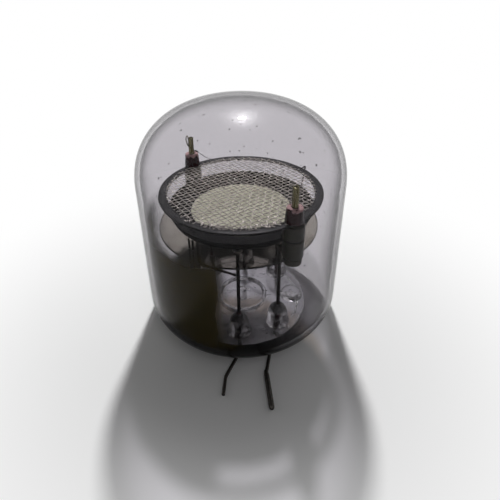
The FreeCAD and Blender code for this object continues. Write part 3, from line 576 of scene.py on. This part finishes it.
# ---- beads -------------------------------------------------------------------------------------
# Moulded ceramic beads, tapered, that insulate the posts from the ring.  They are threaded on the
# posts and stand on the spacers.
BEAD_FOOT_RADIUS = 0.00215
BEAD_TOP_RADIUS = 0.00178
BEAD_HOLE_RADIUS = 0.00074
BEAD_DISH_RADIUS = 0.00095
BEAD_DISH_DEPTH = 0.0002
BEAD_EDGE = 0.0003
BEAD_EDGE_BEYOND = 0.0012                 # only edges further out than this are rounded
WORN_FROM, WORN_TO = 0.0006, 0.0003       # depths below the top: the glaze thins, and is gone
CHIP = 0.00111
CHIP_DEPTH = 0.0007

# Glazed ceramic: a dark red-brown glaze with a gloss, worn to the pink matt body round the top rim.
ceramic, tree, place = new_material("brown_glazed_ceramic")
bead_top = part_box("bead_left")[1].z
height = add(tree, "SeparateXYZ", {}, {"Vector": place})
chips = add(tree, "TexNoise", {}, {"Vector": place, "Scale": 1 / CHIP, "Detail": 3.0})
ragged = add(tree, "MapRange", {}, {"Value": chips, "From Min": 0.3, "From Max": 0.7,
                                    "To Min": -CHIP_DEPTH, "To Max": CHIP_DEPTH})
level = add(tree, "Math", ADD, {0: height.outputs["Z"], 1: ragged})
worn = add(tree, "MapRange", {}, {"Value": level, "From Min": bead_top - WORN_FROM,
                                  "From Max": bead_top - WORN_TO})
tone = add(tree, "Mix", COLOUR_MIX, {0: worn, 6: srgb("#2C0A10"), 7: srgb("#C9A5A3")})
gloss = add(tree, "MapRange", {}, {"Value": worn, "To Min": 0.15, "To Max": 0.7})
glaze = add(tree, "BsdfPrincipled", {}, {"Base Color": tone.outputs[2], "Roughness": gloss,
                                         "Specular IOR Level": 0.2})
add(tree, "OutputMaterial", {}, {"Surface": glaze})
for side in ("left", "right"):
    low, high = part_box("bead_" + side)
    bead = middle("bead_" + side)
    bm = bmesh.new()
    spin_section(bm, [(BEAD_HOLE_RADIUS, low.z), (BEAD_FOOT_RADIUS, low.z), (BEAD_TOP_RADIUS, high.z),
                      (BEAD_DISH_RADIUS, high.z), (BEAD_HOLE_RADIUS, high.z - BEAD_DISH_DEPTH),
                      (BEAD_HOLE_RADIUS, low.z)], steps=40, x=bead.x, y=bead.y)
    round_edges(bm, [e for e in bm.edges if e.calc_face_angle(0) > SHARP
                     and (e.verts[0].co.xy - bead.xy).length > BEAD_EDGE_BEYOND],
                BEAD_EDGE, 3)
    finish_piece(bm, "bead_glazed_" + side, ceramic, ["bead_" + side])


# ---- spacers and collars -----------------------------------------------------------------------
# Turned steatite sleeves, threaded on the posts to space the ring, target and mica apart, and the
# short collars under the mica.
SLEEVE_CLOUD = 0.002

# Steatite: a smooth olive-grey ceramic with soft clouds, that lets a little light into its surface.
steatite, tree, place = new_material("steatite_sleeve")
cloud = add(tree, "TexNoise", {}, {"Vector": place, "Scale": 1 / SLEEVE_CLOUD, "Detail": 4.0})
tone = add(tree, "Mix", COLOUR_MIX, {0: cloud, 6: srgb("#3A3728"), 7: srgb("#201E16")})
sleeve = add(tree, "BsdfPrincipled", {}, {"Base Color": tone.outputs[2], "Roughness": 0.35,
                                          "Specular IOR Level": 0.2,
                                          "Transmission Weight": 0.25, "IOR": 1.5})
add(tree, "OutputMaterial", {}, {"Surface": sleeve})
dress(steatite, *[kind + side for kind in ("upper_spacer_", "lower_spacer_", "foot_collar_")
                  for side in ("left", "right")])


# ---- studio ------------------------------------------------------------------------------------
# Plain pale table and white surround.  A small lamp behind puts the glint on the dome, and a large
# soft one in front fills the inside.
MAXIMUM = {"operation": "MAXIMUM"}


def white_background(tree):
    """1 for the rays that show the background: to the camera, off metal, or through glass."""
    path = add(tree, "LightPath", {}, {})
    seen = add(tree, "Math", MAXIMUM, {0: path.outputs["Is Camera Ray"],
                                       1: path.outputs["Is Transmission Ray"]})
    return add(tree, "Math", MAXIMUM, {0: seen, 1: path.outputs["Is Glossy Ray"]})


TABLE_SIZE = 6.0
SHADE_REACH, WHITE_REACH = 0.035, 0.10    # from here on the table turns from matt to plain white
bm = bmesh.new()
bmesh.ops.create_grid(bm, x_segments=1, y_segments=1, size=TABLE_SIZE)
mesh = bpy.data.meshes.new("table")
bm.to_mesh(mesh)
bm.free()
table = bpy.data.objects.new("table", mesh)
bpy.context.scene.collection.objects.link(table)
# Matt pale table: it shows the tube's shadow, and turns plain white further off.
table_material, tree, place = new_material("matt_pale_table")
reach = add(tree, "VectorMath", {"operation": "LENGTH"}, {0: place})
far = add(tree, "MapRange", SOFT_STEP, {"Value": reach.outputs["Value"], "From Min": SHADE_REACH,
                                        "From Max": WHITE_REACH})
white = add(tree, "Math", MULTIPLY, {0: white_background(tree), 1: far})
top = add(tree, "BsdfDiffuse", {}, {"Color": srgb("#F2F2F2")})
plain = add(tree, "Emission", {}, {"Color": srgb("#FFFFFF"), "Strength": 1.0})
both = add(tree, "MixShader", {}, {0: white, 1: top, 2: plain})
add(tree, "OutputMaterial", {}, {"Surface": both})
mesh.materials.append(table_material)

# White room, plain where it is seen.  Its light comes mostly from behind and low down, so that the
# glass shows dark edges.
world = bpy.data.worlds.new("white_surround")
bpy.context.scene.world = world
world.use_nodes = True
tree = world.node_tree
tree.nodes.clear()
way = add(tree, "SeparateXYZ", {}, {"Vector": add(tree, "TexCoord", {}, {}).outputs["Generated"]})
behind = add(tree, "MapRange", SOFT_STEP, {"Value": way.outputs["Y"], "From Min": -0.6,
                                           "From Max": 0.9, "To Min": 0.12, "To Max": 0.9})
overhead = add(tree, "MapRange", SOFT_STEP, {"Value": way.outputs["Z"], "From Min": 0.15,
                                             "From Max": 0.75, "To Min": 1.0, "To Max": 0.25})
light = add(tree, "Math", MULTIPLY, {0: behind, 1: overhead})
level = add(tree, "Math", MAXIMUM, {0: white_background(tree), 1: light})
sky = add(tree, "Background", {}, {"Color": srgb("#FFFFFF"), "Strength": level})
add(tree, "OutputWorld", {}, {"Surface": sky})

# Each lamp's name, place, width, watts, and whether metal and glass show it.
LAMP_AIM = Vector((0, 0, 0.03))
for name, place, size, power, seen in (("back_lamp", (0.01, 0.275, 0.40), 0.035, 2.0, True),
                                       ("front_lamp", (0.10, -0.30, 0.40), 0.30, 0.18, False)):
    lamp = bpy.data.lights.new(name, "AREA")
    lamp.shape = "DISK"
    lamp.size = size
    lamp.energy = power
    holder = bpy.data.objects.new(name, lamp)
    bpy.context.scene.collection.objects.link(holder)
    holder.location = place
    holder.visible_glossy = seen
    holder.visible_transmission = seen
    holder.rotation_euler = (LAMP_AIM - Vector(place)).to_track_quat("-Z", "Y").to_euler()

CAMERA_PITCH = math.radians(27.63)
CAMERA_ROLL = math.radians(-0.9)
CAMERA_DISTANCE = 0.0995       # from the middle of the ring's top
camera = bpy.data.cameras.new("camera")
camera.sensor_width = 36.0
camera.lens = 28.58
camera.shift_x = 0.0183
camera.shift_y = -0.1247
camera.clip_start = 0.001
holder = bpy.data.objects.new("camera", camera)
bpy.context.scene.collection.objects.link(holder)
holder.location = (0, -CAMERA_DISTANCE * math.cos(CAMERA_PITCH),
                   RING_TOP + CAMERA_DISTANCE * math.sin(CAMERA_PITCH))
turn = Euler((math.pi / 2 - CAMERA_PITCH, 0, 0)).to_matrix() @ Matrix.Rotation(CAMERA_ROLL, 3, "Z")
holder.rotation_euler = turn.to_euler()
bpy.context.scene.camera = holder
bpy.context.scene.view_settings.view_transform = "Standard"
